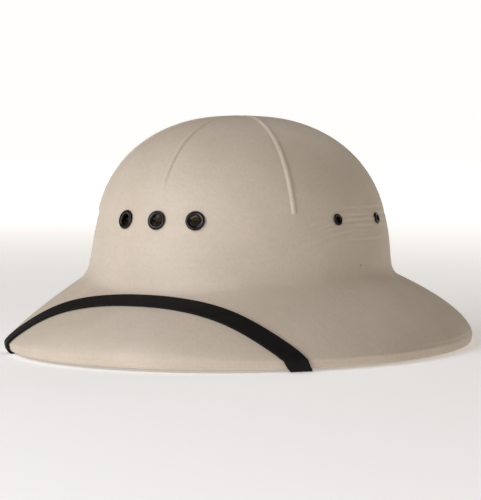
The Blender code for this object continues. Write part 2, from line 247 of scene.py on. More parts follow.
def brim_at(b, across):
    """The brim's upper side: across runs from 0 at the wall to 1 at the widest line."""
    x, y = rim_plan(b)
    widest = np.stack([x + BEAD_OUTER * np.sin(b), y - BEAD_OUTER * np.cos(b), rim_height(y)], -1)
    top = brim_top(b)
    across = np.asarray(across)[..., None]
    point = wall_at(b, top) * (1 - across) + widest * across
    front = FULLNESS_FRONT + (FULLNESS_PEAK - FULLNESS_FRONT) * peak(b)
    fullness = FULLNESS_REAR + (front - FULLNESS_REAR) * frontness(b)
    drop = np.clip(1 - across[..., 0], 0, 1) ** (1 / fullness)
    point[..., 2] = rim_height(point[..., 1]) + BEAD_BELLY + (top - BEAD_BELLY) * drop
    return point


def foot_at(b, share):
    """The soft curve between wall and brim, from 0 on the wall to 1 on the brim."""
    top = brim_top(b)
    start, corner = wall_at(b, top + FOOT_RISE), wall_at(b, top)
    x, y = rim_plan(b)
    width = np.hypot(x - corner[..., 0], y - corner[..., 1])
    end = brim_at(b, FOOT_FILLET / width)
    return start * (1 - share) ** 2 + corner * 2 * share * (1 - share) + end * share ** 2


def bead_at(b, inward, height):
    """A point of the rolled rim, by its distance inward from the rim's line."""
    x, y = rim_plan(b)
    return np.stack([x - inward * np.sin(b), y + inward * np.cos(b), rim_height(y) + height], -1)


def height_over_rim(points):
    """Height over the rim's plane, which tips a little."""
    return points[..., 2] - rim_height(points[..., 1])

widest = float(brim_at(np.array(math.pi / 2), 1.0)[0])
print("widest point at the side:", round(widest / MM, 1), "mm out")

# %% [markdown]
# ## Columns and stations
# The shell's mesh is a grid: stations run from the top of the crown down to the rim and back up
# inside, and columns run round. Equal columns would waste points where nothing happens, so they
# crowd together at the six ribs, which are only a few millimetres wide.

# %% Lay out the grid
RIB_BEARINGS = np.radians((0, 53, 127, 180, 233, 307))
COLUMN_STEP, RIB_STEP, RIB_REACH, CROWN_RADIUS = 2.5 * MM, 0.55 * MM, 4.2 * MM, 100 * MM
RIPPLE_TOP, RIPPLE_STEP = 94 * MM, 0.62 * MM
GROOVE_DEPTH, GROOVE_HEIGHT, GROOVE_WIDTH = 0.22 * MM, 3.2 * MM, 0.8 * MM


def spread_columns():
    """Bearings of the columns, in even number, closer together at the ribs."""
    fine = np.linspace(-math.pi, math.pi, 7201)
    density = np.full(fine.shape, 1 / COLUMN_STEP)
    for rib in RIB_BEARINGS:
        away = np.abs((fine - rib + math.pi) % (2 * math.pi) - math.pi) * CROWN_RADIUS
        density += (1 / RIB_STEP - 1 / COLUMN_STEP) * np.exp(-(away / RIB_REACH) ** 4)
    total = np.concatenate([[0], np.cumsum((density[1:] + density[:-1]) / 2 * np.diff(fine))])
    count = 2 * round(total[-1] * CROWN_RADIUS / 2)
    return np.interp(np.arange(count) / count, total / total[-1], fine)


def climb_of(height):
    """The dome's climb at a height over the rim's plane."""
    return math.asin(((height - SPRING_HEIGHT) / DOME_HEIGHT) ** (DOME_FULLNESS / 2))


def outer_stations():
    """The outer side from top to rim; they lie closest where the ripples and creases are."""
    rows = [dome_at(columns, c) for c in np.linspace(math.pi / 2, climb_of(RIPPLE_TOP), 64)]
    close = np.arange(RIPPLE_TOP - RIPPLE_STEP, SPRING_HEIGHT, -RIPPLE_STEP)
    rows += [dome_at(columns, climb_of(height)) for height in close]
    rows += [wall_at(columns, SPRING_HEIGHT - s * (SPRING_HEIGHT - brim_top(columns) - FOOT_RISE))
             for s in np.linspace(0, 1, 19)[:-1]]
    rows += [foot_at(columns, s) for s in np.linspace(0, 1, 9)[:-1]]
    x, y = rim_plan(columns)
    wall = wall_at(columns, brim_top(columns))
    start = FOOT_FILLET / np.hypot(x - wall[:, 0], y - wall[:, 1])
    shares = np.concatenate([np.linspace(0, 0.80, 17), 1 - 0.18 * np.linspace(1, 0, 25)[:-1] ** 1.35])
    rows += [brim_at(columns, start + (1 - start) * s) for s in shares]
    return np.array(rows)


def bead_stations():
    """Round the rolled rim: down its outer side to the flat foot, then up its inner side."""
    flat = BEAD_FLAT / 2
    rows = []
    for turn in np.radians(np.linspace(0, 90, 15)):
        height = BEAD_BELLY * (1 - math.sin(turn))
        groove = GROOVE_DEPTH * math.exp(-((height - GROOVE_HEIGHT) / GROOVE_WIDTH) ** 2)
        rows.append(bead_at(columns, -flat - (BEAD_OUTER - flat) * math.cos(turn) + groove, height))
    for turn in np.radians(np.linspace(-90, 50, 15)):
        inward = flat + (BEAD_INNER - flat) * math.cos(turn)
        rows.append(bead_at(columns, inward, BEAD_TOP / 2 * (1 + math.sin(turn))))
    return np.array(rows)


columns = spread_columns()
outer = outer_stations()
bead = bead_stations()
print(len(columns), "columns,", len(outer), "outer stations,", len(bead), "on the bead")

# %% [markdown]
# ## Relief
# Six ribs run up to the top like the seams of a sewn cork helmet, each with a round lower end. The
# mould also left faint ripples round the lower crown, fine creases along the rolled rim, and a surface
# that is never quite even. All of it is a distance along the outward normal, added up here for every
# point of the grid. A texture could only fake it in the shading, and here the outline shows it too.

# %% Work out the normals
def grid_normals(grid):
    """Outward normals, from the steps between neighbouring points."""
    along = np.roll(grid, -1, axis=1) - np.roll(grid, 1, axis=1)
    down = np.gradient(grid, axis=0)
    normal = np.cross(down, along)
    normal /= np.linalg.norm(normal, axis=2, keepdims=True) + 1e-15
    normal[0] = (0, 0, 1)
    return normal


normals = grid_normals(outer)
print("top normal", normals[1, 0].round(2), "side normal", normals[120, len(columns) // 4].round(2))

# %% Ribs
RIB_WIDTH, RIB_HEIGHT, RIB_LOW = 3.8 * MM, 0.95 * MM, 88.4 * MM
RIB_ROUND = (0.35, 1.1)              # a rib's flat top and its foot, as shares of half its width
FRONT_RIB_FADES = (98 * MM, 118 * MM)
POLE_OVERLAP = (-1.5 * MM, 0.5 * MM)  # the ribs run a little past the top, so they meet
TOP_SHARE, TOP_FADES = 0.45, (2 * MM, 38 * MM)


def rib_relief(grid):
    """Round-topped ribs; each ends in a half circle at its lower end."""
    height = height_over_rim(grid)
    arc = np.concatenate([[0], np.cumsum(np.linalg.norm(np.diff(grid[:, 0], axis=0), axis=1))])
    relief = np.zeros(height.shape)
    for rib in RIB_BEARINGS:
        column = int(np.argmin(np.abs((columns - rib + math.pi) % (2 * math.pi) - math.pi)))
        sideways = (grid - grid[:, column:column + 1]) @ np.array([math.cos(rib), math.sin(rib), 0.0])
        forward = (grid - grid[0, 0]) @ np.array([math.sin(rib), -math.cos(rib), 0.0])
        end = np.interp(-RIB_LOW, -height[:, column], arc)
        past_end = np.clip(arc[:, None] - end + RIB_WIDTH / 2, 0, None)
        away = np.hypot(sideways, past_end) / (RIB_WIDTH / 2)
        bump = (1 - smooth_share(away, *RIB_ROUND)) * smooth_share(forward, *POLE_OVERLAP)
        bump = bump * (TOP_SHARE + (1 - TOP_SHARE) * smooth_share(forward, *TOP_FADES))
        if rib == 0:
            bump = bump * smooth_share(height, *FRONT_RIB_FADES)
        relief = np.maximum(relief, RIB_HEIGHT * bump)
    return relief


# %% Ripples
LINE_FRONT, LINE_RISE = 55.0, 18.5
RIPPLE_RISES = (2.8, 6.4, 10.2, 13.6, 17.2)


def wander(b, seed, size):
    """A slow, repeatable waver round the helmet."""
    waves = np.sin(2 * b + 1.7 * seed) + 0.6 * np.sin(5 * b + 2.9 * seed)
    return size * (waves + 0.3 * np.sin(11 * b + 0.9 * seed))


def wave(line, middle, width):
    """One smooth raised line, by its distance in millimetres from a middle."""
    return np.exp(-((line - middle) / width) ** 2)


def ripple_relief(grid):
    """Shallow waves run part of the way round, above one fine line; they are weaker in front."""
    b = columns[None, :]
    height = height_over_rim(grid) / MM
    base = LINE_FRONT + LINE_RISE * smooth_share(-np.cos(b), -0.98, -0.2)
    strength = 0.6 + 0.4 * smooth_share(-np.cos(b), -0.9, -0.5)
    line = height - base - wander(b, 1, 0.5)
    shown = smooth_share(wander(b, 4, 1.0), -1.4, 0.3)
    relief = shown * (0.15 * wave(line, 0, 0.75) - 0.12 * wave(line, -1.6, 0.8))
    for i, rise in enumerate(RIPPLE_RISES):
        line = height - base - rise - wander(b, i + 2.3, 0.6)
        patch = wander(b, 3.1 * i + 0.5, 0.9) + 0.5 * np.sin(17 * b + i) + 0.35 * np.sin(31 * b + 2 * i)
        patch = smooth_share(patch, -0.9, 0.7)
        relief = relief + patch * (0.13 * wave(line, 1.7, 0.9) - 0.24 * wave(line, 0, 0.95))
    return relief * strength * MM


# %% Rim creases and unevenness
UNEVEN, UNEVEN_FADES = 0.10 * MM, (35, 70)


def rim_relief(grid):
    """Two valleys and a ridge between them, a few millimetres up from the rolled rim."""
    steps = np.linalg.norm(np.diff(grid, axis=0), axis=2)
    up = np.concatenate([np.cumsum(steps[::-1], axis=0)[::-1], np.zeros((1, grid.shape[1]))]) / MM
    strength = 0.12 + 0.88 * (1 - smooth_share(np.cos(columns), 0.3, 0.9))
    lines = 0.14 * wave(up, 3.0, 0.5) - 0.16 * wave(up, 1.6, 0.8) - 0.08 * wave(up, 5.6, 0.8)
    return MM * lines * strength[None, :]


def uneven_relief(grid):
    """A slow rise and fall over the crown, as wet fibre never dries quite evenly."""
    x, y, z = (grid[..., i] / MM for i in range(3))
    slow = np.sin(x / 31 + 0.6) * np.sin(y / 37 + 1.9) + 0.6 * np.sin(x / 17 - y / 23 + z / 19)
    return UNEVEN * slow * smooth_share(z, *UNEVEN_FADES)


relief = rib_relief(outer) + ripple_relief(outer) + rim_relief(outer) + uneven_relief(outer)
outer_shaped = outer + normals * relief[..., None]
print("relief from", round(float(relief.min()) / MM, 2), "to", round(float(relief.max()) / MM, 2), "mm")

# %% [markdown]
# ## Turning and pressing the shell
# A spin makes anything round in one step. So the shell's section is drawn point by point, spun
# once round, and comes out as a round helmet. Then every point is pressed to its place on
# the real form, oval and with its relief, which is what the mould does to the wet fibre. The inner side
# needs fewer stations than the outer side, and runs into the rolled rim in a soft curve.

# %% Draw the section and spin it
CHUNK = 20000
BEND_STATIONS, BEAD_KEPT = 19, 25   # stations that the bend replaces on the brim, and the bead's own
INNER_EVERY = 3                     # the inner side has one station for three of the outer side


def draw_section(name, section):
    """One point, extruded along (radius, height) pairs."""
    piece = start_mesh(name, bpy.ops.mesh.primitive_plane_add, size=MM)
    edit((bpy.ops.mesh.merge, {"type": "CENTER"}))
    move_points(piece, [(0, section[0][0], section[0][1])])
    bpy.ops.object.mode_set(mode="EDIT")
    bpy.ops.mesh.select_all(action="SELECT")
    for (r0, z0), (r1, z1) in zip(section, section[1:]):
        bpy.ops.mesh.extrude_region_move(TRANSFORM_OT_translate={"value": (0, r1 - r0, z1 - z0)})
    bpy.ops.object.mode_set(mode="OBJECT")
    return piece


def spin_section(count):
    """Spin the drawn section once round, close the seam and turn the faces outward."""
    once_round = {"steps": count, "angle": 2 * math.pi, "center": (0, 0, 0), "axis": (0, 0, 1)}
    edit((bpy.ops.mesh.spin, once_round),
         (bpy.ops.mesh.remove_doubles, {"threshold": 0.002 * MM}),
         (bpy.ops.mesh.normals_make_consistent, {"inside": False}))


def press(piece, section, grid):
    """Move each point of a spun piece to its (station, column) place in the grid."""
    points = points_of(piece)
    radius = np.hypot(points[:, 0], points[:, 1])
    turn = np.arctan2(points[:, 0], -points[:, 1])
    count = grid.shape[1]
    column = np.round((turn + math.pi) / (2 * math.pi) * count).astype(int) % count
    station = np.empty(len(points), int)
    for i in range(0, len(points), CHUNK):   # in chunks, so that the table of distances stays small
        part = slice(i, i + CHUNK)
        gap = np.hypot(radius[part, None] - section[:, 0], points[part, 2, None] - section[:, 1])
        station[part] = gap.argmin(axis=1)
    move_points(piece, grid[station, column])


def hollow(start, before, end):
    """The underside bends down into the bead in one soft curve, upright where it meets it."""
    slope = (start - before)[:, 2] / np.linalg.norm((start - before)[:, :2], axis=1)
    corner = end.copy()
    corner[:, 2] = start[:, 2] + slope * np.linalg.norm((end - start)[:, :2], axis=1)
    shares = np.linspace(0, 1, 12)[1:-1, None, None]
    return start * (1 - shares) ** 2 + corner * 2 * shares * (1 - shares) + end * shares ** 2


underside = outer - normals * WALL
bend_start = len(outer) - BEND_STATIONS
bead = bead[:BEAD_KEPT]
bend = hollow(underside[bend_start], underside[bend_start - 1], bead[-1])
inner = np.concatenate([bend[::-1], underside[bend_start:0:-INNER_EVERY], underside[:1]])
shell_grid = np.concatenate([outer_shaped, bead, inner])
quarter = int(np.argmin(np.abs(columns - math.pi / 2)))
side = shell_grid[:, quarter]
shell_section = np.stack([side[:, 0], side[:, 2]], -1)
shell_section[0, 0] = shell_section[-1, 0] = 0
shell = draw_section("helmet_shell", shell_section)
spin_section(len(columns))
press(shell, shell_section, shell_grid)
print("shell", len(shell.data.vertices), "points")

# %% [markdown]
# ## Holes for the eyelets
# Seven holes are drilled through the pressed shell. A Boolean does it cleanly: a cylinder as wide
# as each barrel, with a little play, is taken away from the shell.

# %% Where the eyelets sit
EYELET_HEIGHT = 84.6 * MM
EYELET_PLAY = 0.3 * MM
FRONT_SIZE = {"flange": 6.1 * MM, "barrel": 4.3 * MM, "hole": 3.3 * MM, "dome": 1.3 * MM}
SIDE_SIZE = {"flange": 3.8 * MM, "barrel": 2.6 * MM, "hole": 1.9 * MM, "dome": 0.9 * MM}
EYELETS = {
    "front_eyelet_1": (-15.9, FRONT_SIZE),
    "front_eyelet_2": (0, FRONT_SIZE),
    "front_eyelet_3": (15.9, FRONT_SIZE),
    "side_eyelet_left_1": (71.6, SIDE_SIZE), "side_eyelet_left_2": (97.8, SIDE_SIZE),
    "side_eyelet_right_1": (-71.6, SIDE_SIZE), "side_eyelet_right_2": (-97.8, SIDE_SIZE)}
# Each surface with the small step along it that measures its slope; foot and brim run downward.
SURFACES = {"dome": (dome_at, 0.008), "wall": (wall_at, 0.5 * MM),
            "foot": (foot_at, -0.004), "brim": (brim_at, -0.004)}


def spot(b, kind, value):
    """A point of the outer surface and its outward normal there."""
    surface, step = SURFACES[kind]
    b = np.array(b)
    along = surface(b + 0.01, value) - surface(b - 0.01, value)
    below = 0 if kind == "dome" and value <= 0.01 else step / 2   # a dome has nothing below its foot
    up = surface(b, value + step - below) - surface(b, value - below)
    normal = np.cross(along, up)
    return Vector(surface(b, value)), Vector(normal / np.linalg.norm(normal))


def wall_place(height):
    """Which surface a height on the crown belongs to, and its place on it."""
    if height <= SPRING_HEIGHT:
        return "wall", height
    return "dome", climb_of(height)


def seat(b, height):
    """Matrix that carries +Z to the shell's outward normal at a bearing and height."""
    point, normal = spot(b, *wall_place(height))
    return Matrix.Translation(point) @ normal.to_track_quat("Z", "Y").to_matrix().to_4x4()


seats = {name: seat(math.radians(bearing), EYELET_HEIGHT) for name, (bearing, size) in EYELETS.items()}
for name in seats:
    low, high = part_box(name)
    middle = (Vector(low) + Vector(high)) / 2
    print(name, "seat", [round(v / MM, 1) for v in seats[name].translation],
          "frame's middle", [round(v / MM, 1) for v in middle])

# %% Drill the holes
DRILL_SIDES, DRILL_DEPTH = 48, 8 * WALL
SLIVER = 0.003 * MM
drills = []
for name, (bearing, size) in EYELETS.items():
    drill = start_mesh("drill", bpy.ops.mesh.primitive_cylinder_add, vertices=DRILL_SIDES,
                       radius=size["barrel"] + EYELET_PLAY, depth=DRILL_DEPTH)
    drill.data.transform(seats[name])
    drills.append(drill)
bpy.ops.object.select_all(action="DESELECT")
for drill in drills:
    drill.select_set(True)
bpy.context.view_layer.objects.active = drills[0]
bpy.ops.object.join()
bpy.ops.object.select_all(action="DESELECT")
shell.select_set(True)
bpy.context.view_layer.objects.active = shell
cut = shell.modifiers.new("eyelet holes", "BOOLEAN")
cut.operation = "DIFFERENCE"
cut.object = drills[0]
bpy.ops.object.modifier_apply(modifier=cut.name)
bpy.data.objects.remove(drills[0])
# Where a cut runs very near a point of the grid it leaves a sliver. Those are merged away.
edit((bpy.ops.mesh.remove_doubles, {"threshold": SLIVER}),
     (bpy.ops.mesh.dissolve_degenerate, {"threshold": SLIVER}))
print("shell", len(shell.data.vertices), "points after drilling")

# %% [markdown]
# ## The shell's finish
# Pressed fibre board, sealed and painted a warm tan. Up close the paint shows the board under it:
# a soft pebbling a couple of millimetres across, finer fibres, and a little unevenness in
# its colour. The paint is satin, so its highlights are broad and weak.

# %% Painted fibre
fibre, tree, shader = new_finish("painted_pressed_fibre", Roughness=0.55, IOR=1.47)
place = add(tree, "TexCoord", {}).outputs["Object"]
# Real fibres are finer than a pixel, so the pebbling is drawn at about 2 mm, the least that shows.
pebbles = add(tree, "TexNoise", {"Vector": place, "Scale": 460, "Detail": 3.0, "Roughness": 0.55,
                                 "Distortion": 0.8})
swells = add(tree, "TexNoise", {"Vector": place, "Scale": 95, "Detail": 2.0})
clouds = add(tree, "TexNoise", {"Vector": place, "Scale": 22, "Detail": 4.0, "Roughness": 0.6})
tint = add(tree, "ValToRGB", {"Fac": clouds.outputs["Fac"]}, stops=((0.3, "#cfc0ad"), (0.7, "#d8c9b8")))
specks = add(tree, "ValToRGB", {"Fac": pebbles.outputs["Fac"]}, stops=((0.25, 0.94), (0.6, 1.0)))
paint = add(tree, "Mix", {0: 1.0, 6: tint.outputs[0], 7: specks.outputs[0]},
            data_type="RGBA", blend_type="MULTIPLY")
tree.links.new(paint.outputs[2], shader.inputs["Base Color"])
gloss = add(tree, "MapRange", {"Value": swells.outputs["Fac"], "To Min": 0.5, "To Max": 0.64})
tree.links.new(gloss.outputs[0], shader.inputs["Roughness"])
# The pebbling is stronger in some patches than in others, as the board was wetter there.
patches = add(tree, "TexNoise", {"Vector": place, "Scale": 16, "Detail": 1.0})
strength = add(tree, "MapRange", {"Value": patches.outputs["Fac"], "From Min": 0.4, "From Max": 0.65,
                                  "To Min": 0.2, "To Max": 0.85})
wide = add(tree, "Bump", {"Height": swells.outputs["Fac"], "Distance": 0.0003, "Strength": 0.45})
fine = add(tree, "Bump", {"Height": pebbles.outputs["Fac"], "Distance": 0.00022,
                          "Strength": strength.outputs[0], "Normal": wide.outputs[0]})
tree.links.new(fine.outputs[0], shader.inputs["Normal"])
finish_piece(shell, "helmet_shell", [fibre], ["shell"], angle=50)

# %% [markdown]
# ## Eyelets
# A vent eyelet is a short metal tube. Its outer flange is pressed into a smooth dome, and inside
# the helmet the tube is rolled out to grip the wall. One turned profile does it, and a spin makes it
# round. The big one is made once and copied for its places, and so is the small one.

# %% Turn an eyelet
EDGE_ROUND, LIP_ROUND, EYELET_SIDES = 0.25 * MM, 0.35 * MM, 72


def eyelet_profile(hole, barrel, flange, dome):
    """(radius, height) pairs: up the bore, over the flange, down the barrel, round the inner lip."""
    crest = hole + 0.62 * (flange - hole)
    profile = [(hole, -WALL - 1.2 * MM), (hole, -1.0 * MM)]
    for turn in np.radians(np.linspace(180, 12, 19)):
        reach = crest - hole if turn > math.pi / 2 else flange - crest
        profile.append((crest + reach * math.cos(turn), EYELET_PLAY + dome * math.sin(turn) ** 0.8))
    for turn in np.radians(np.linspace(0, -90, 5)):
        profile.append((flange - EDGE_ROUND + EDGE_ROUND * math.cos(turn),
                        EYELET_PLAY + 0.2 * MM * (1 + math.sin(turn))))
    profile += [(barrel, EYELET_PLAY), (barrel, -WALL - 1.0 * MM)]
    lip = (flange + barrel) / 2
    for turn in np.radians(np.linspace(90, -90, 9)):
        profile.append((lip - LIP_ROUND + LIP_ROUND * math.cos(turn),
                        -WALL - 1.35 * MM + LIP_ROUND * math.sin(turn)))
    profile += [(hole + 0.5 * MM, -WALL - 1.7 * MM), (hole + 0.15 * MM, -WALL - 1.55 * MM),
                (hole, -WALL - 1.2 * MM)]
    return profile


def turn_eyelet(size):
    """One eyelet at the origin, its axis along +Z."""
    eyelet = draw_section("eyelet", eyelet_profile(**size))
    edit((bpy.ops.mesh.remove_doubles, {"threshold": 0.001 * MM}))
    spin_section(EYELET_SIDES)
    return eyelet


# %% [markdown]
# The flanges are black enamel on pressed steel. Enamel is a thick glossy paint, so it is not
# metallic to the eye: it reflects a little, sharply, with the faintest orange peel.

# %% Black enamel, and the eyelets
enamel, tree, shader = new_finish("glossy_black_enamel", Roughness=0.1, IOR=1.5, Specular_IOR_Level=0.35)
place = add(tree, "TexCoord", {}).outputs["Object"]
peel = add(tree, "TexNoise", {"Vector": place, "Scale": 700, "Detail": 2.0})
depth = add(tree, "ValToRGB", {"Fac": peel.outputs["Fac"]}, stops=((0.3, "#0b0607"), (0.75, "#140b0c")))
tree.links.new(depth.outputs[0], shader.inputs["Base Color"])
rough = add(tree, "MapRange", {"Value": peel.outputs["Fac"], "To Min": 0.07, "To Max": 0.15})
tree.links.new(rough.outputs[0], shader.inputs["Roughness"])
skin = add(tree, "Bump", {"Height": peel.outputs["Fac"], "Distance": 0.00002, "Strength": 0.6})
tree.links.new(skin.outputs[0], shader.inputs["Normal"])

patterns = {"front": turn_eyelet(FRONT_SIZE), "side": turn_eyelet(SIDE_SIZE)}
for name in EYELETS:
    pattern = patterns[name.split("_")[0]]
    eyelet = pattern.copy()
    eyelet.data = pattern.data.copy()
    bpy.context.scene.collection.objects.link(eyelet)
    eyelet.data.transform(seats[name])
    finish_piece(eyelet, name + "_enamelled", [enamel], [name], angle=60)
for pattern in patterns.values():
    bpy.data.objects.remove(pattern)

# %% [markdown]
# ## Pins
# A thin pin through the crown's foot holds the sweatband on each side. From outside only its
# small round head shows.

# %% Turn the pins
PIN_BEARING, PIN_HEIGHT, PIN_SIDES = 80.7, 55.6 * MM, 16
PIN_SECTION = [(0, 0.3), (0.25, 0.26), (0.42, 0.14), (0.48, 0.02), (0.25, 0.02), (0.25, -1.6), (0, -1.6)]
for side, bearing in (("left", PIN_BEARING), ("right", -PIN_BEARING)):
    pin = draw_section("pin", [(r * MM, h * MM) for r, h in PIN_SECTION])
    spin_section(PIN_SIDES)
    pin.data.transform(seat(math.radians(bearing), PIN_HEIGHT))
    finish_piece(pin, "band_pin_" + side, [enamel], angle=50)

# %% [markdown]
# ## Sweatband
# A stiff band of vinyl stands inside the crown's foot and leans away from the wall above. It
# is a ring with a thin section: spun round, then pressed to the oval like the shell. Where
# the strap's ends go up behind it, it stands in a little.

# %% Form of the sweatband
BAND_LOW, BAND_HEIGHT, BAND_THICKNESS = 46.8 * MM, 32.0 * MM, 1.6 * MM
BAND_LEAN, BAND_CURVE = 7.0 * MM, 1.3
ANCHOR_BEARING, BULGE_FLAT, BULGE_FADE = 50.5, 5.0, 9.0
STRAP_ROOM, BAND_GAP = 2.5 * MM, 0.3 * MM


def inside_wall(b, height, inset):
    """A point inside the crown, by its height over the rim's plane and its inset from the wall."""
    point, normal = spot(b, *wall_place(height))
    flat = Vector((normal.x, normal.y, 0)).normalized()
    point -= flat * (WALL + inset)
    point.z = rim_height(point.y) + height
    return point


def band_point(b, height, depth):
    """A point of the sweatband, depth being 0 on the side towards the wall."""
    share = min(max((height - BAND_LOW) / BAND_HEIGHT, 0), 1)
    away = abs(abs((math.degrees(b) + 180) % 360 - 180) - ANCHOR_BEARING)
    bulge = 1 - float(smooth_share(away, BULGE_FLAT, BULGE_FLAT + BULGE_FADE))
    lean = max(BAND_LEAN * share ** BAND_CURVE, bulge * STRAP_ROOM)
    return inside_wall(b, height, BAND_GAP + lean + depth)


def band_section():
    """(depth, height) pairs round the band's section, with rounded edges."""
    half = BAND_THICKNESS / 2
    section = [(0.0, BAND_LOW + half + (BAND_HEIGHT - 2 * half) * s) for s in np.linspace(0, 1, 15)]
    top, foot = BAND_LOW + BAND_HEIGHT - half, BAND_LOW + half
    turns = np.radians(np.linspace(22.5, 157.5, 7))
    section += [(half - half * math.cos(t), top + half * math.sin(t)) for t in turns]
    section += [(2 * half, height) for depth, height in section[14::-1]]
    section += [(half - half * math.cos(t), foot - half * math.sin(t)) for t in turns[::-1]]
    return section


BAND_COLUMNS, SPIN_RADIUS = 240, 90 * MM
band_columns = np.linspace(-math.pi, math.pi, BAND_COLUMNS + 1)[:-1]
section = band_section()
band_grid = np.array([[band_point(b, height, depth) for b in band_columns] for depth, height in section])
print("sweatband", band_grid.shape[:2], "points by station and column")

# %% Spin and press it
round_section = np.array([(SPIN_RADIUS - depth, height) for depth, height in section + section[:1]])
band = draw_section("sweatband", round_section)
spin_section(len(band_columns))
press(band, round_section[:-1], band_grid)
edit((bpy.ops.mesh.normals_make_consistent, {"inside": False}))

# %% [markdown]
# The band is vinyl on a stiff backing, embossed like leather. It is smoother than the strap, so it
# keeps a satin sheen, a little uneven where it was folded.

# %% Black vinyl
# The real grain is about 0.5 mm, which is finer than a pixel here, so it is drawn at 1.6 mm.
vinyl, tree, shader = new_finish("satin_black_vinyl", Roughness=0.42, IOR=1.5)
place = add(tree, "TexCoord", {}).outputs["Object"]
grain = add(tree, "TexVoronoi", {"Vector": place, "Scale": 620.0}, feature="SMOOTH_F1")
folds = add(tree, "TexNoise", {"Vector": place, "Scale": 60, "Detail": 3.0})
tone = add(tree, "ValToRGB", {"Fac": folds.outputs["Fac"]}, stops=((0.3, "#100d0e"), (0.7, "#191516")))
tree.links.new(tone.outputs[0], shader.inputs["Base Color"])
sheen = add(tree, "MapRange", {"Value": folds.outputs["Fac"], "To Min": 0.36, "To Max": 0.5})
tree.links.new(sheen.outputs[0], shader.inputs["Roughness"])
leather = add(tree, "Bump", {"Height": grain.outputs["Distance"], "Distance": 0.0002, "Strength": 0.7})
tree.links.new(leather.outputs[0], shader.inputs["Normal"])
finish_piece(band, "sweatband_vinyl", [vinyl], ["sweatband"], angle=60)

# %% [markdown]
# ## Chin strap
# The strap is not hanging: it is stowed taut over the front of the brim, folded over the rim on
# both sides, and its ends go up inside the crown. It is one ribbon, so its section is drawn as a
# thin rounded ring, extruded station by station, and laid along its way.

# %% The strap's way over the brim, round the rim and up inside
STRAP_WIDTH = 12.5 * MM
STRAP_MID, STRAP_CURVE, STRAP_EDGE = 0.23, 2.4, math.radians(38.5)
ANCHOR = math.radians(ANCHOR_BEARING)
STRAP_END_HEIGHT, STRAP_ROUTE_GAP = 66.0 * MM, 0.35 * MM
UP = Vector((0, 0, 1))


def rim_direction(b):
    """The rim's direction at a bearing, which the strap's edges follow where it folds."""
    near, far = (bead_at(np.array(b + d), 0, 0) for d in (-0.009, 0.009))
    return Vector(near - far).normalized()


def way_over_brim(shares):
    """Stations of (point, normal, fold) from the middle of the front to the rim."""
    way = []
    for share in shares:
        b = STRAP_EDGE * share
        point, normal = spot(b, "brim", STRAP_MID + (1 - STRAP_MID) * share ** STRAP_CURVE)
        way.append((point, normal, rim_direction(b) * share ** 5))
    return way


def way_round_rim(turns, under_turns):
    """Stations down the rim's outer side, then under its inner side."""
    flat, way = BEAD_FLAT / 2, []
    for turn in turns:
        share = float(np.interp(turn, (0, 22, 45, 68, 90), (0.2, 0.4, 0.6, 0.8, 0.9)))
        b = STRAP_EDGE + (STRAP_UNDER - STRAP_EDGE) * share
        outward, angle = Vector((math.sin(b), -math.cos(b), 0)), math.radians(turn)
        inward, height = -flat - (BEAD_OUTER - flat) * math.cos(angle), BEAD_BELLY * (1 - math.sin(angle))
        normal = outward * math.cos(angle) - UP * math.sin(angle)
        way.append((Vector(bead_at(np.array(b), inward, height)), normal, rim_direction(b)))
    b = STRAP_UNDER
    outward = Vector((math.sin(b), -math.cos(b), 0))
    for turn in under_turns:
        angle = math.radians(turn)
        inward, height = flat + (BEAD_INNER - flat) * math.sin(angle), BEAD_TOP / 2 * (1 - math.cos(angle))
        normal = -outward * math.sin(angle) - UP * math.cos(angle)
        way.append((Vector(bead_at(np.array(b), inward, height)), normal, rim_direction(b)))
    return way


def way_inside(shares, heights):
    """Stations up inside the crown's foot, behind the sweatband."""
    way, nothing = [], Vector((0, 0, 0))
    for share in shares:
        point, normal = spot(ANCHOR, "foot", share)
        way.append((point - normal * (WALL + STRAP_ROUTE_GAP), -normal, nothing))
    for height in heights:
        normal = spot(ANCHOR, *wall_place(height))[1]
        way.append((inside_wall(ANCHOR, height, STRAP_ROUTE_GAP), -normal, nothing))
    return way


foot_top = float(brim_top(np.array(ANCHOR))) + FOOT_RISE
brim_way = way_over_brim(list(np.linspace(0, 0.9, 37)) + [0.92, 0.94, 0.955, 0.97, 0.983, 0.995])
rim_way = way_round_rim(np.linspace(0, 90, 13), (0, 11, 22))
inside_way = way_inside((0.75, 0.625, 0.5, 0.375, 0.25), np.linspace(foot_top, STRAP_END_HEIGHT, 9))
last, first = rim_way[-1], inside_way[0]
run_way = [tuple(a.lerp(c, s) for a, c in zip(last, first)) for s in np.linspace(0, 1, 13)[1:-1]]
half_way = brim_way + rim_way + run_way + inside_way
half_way = [(point + normal.normalized() * (STRAP_GAP + STRAP_THICKNESS / 2), normal.normalized(), fold)
            for point, normal, fold in half_way]
flip = Vector((-1, 1, 1))
strap_way = [tuple(v * flip for v in station) for station in half_way[:0:-1]] + half_way
length = sum((b[0] - a[0]).length for a, b in zip(strap_way, strap_way[1:]))
print("strap:", len(strap_way), "stations,", round(length / MM), "mm long")

# %% Lay the ribbon along it
TWIST_REACH, BEND_REACH = 6 * MM, 1.8 * MM


def ribbon_edge():
    """(across, thick) shares round the ribbon's section, with rounded edges."""
    half, thick = STRAP_WIDTH / 2, STRAP_THICKNESS / 2
    corner = thick * 0.5
    ring = []
    for side, face in ((1, 1), (-1, 1), (-1, -1), (1, -1)):
        middle = Vector((side * (half - corner), face * (thick - corner)))
        turns = np.radians(np.linspace(0, 90, 5))
        arc = [middle + corner * Vector((side * math.cos(t), face * math.sin(t))) for t in turns]
        ring += arc if side == face else arc[::-1]
        if side == face:
            ring += [Vector((side * half * s, face * thick)) for s in (0.6, 0.3, 0.0, -0.3, -0.6)]
    return ring


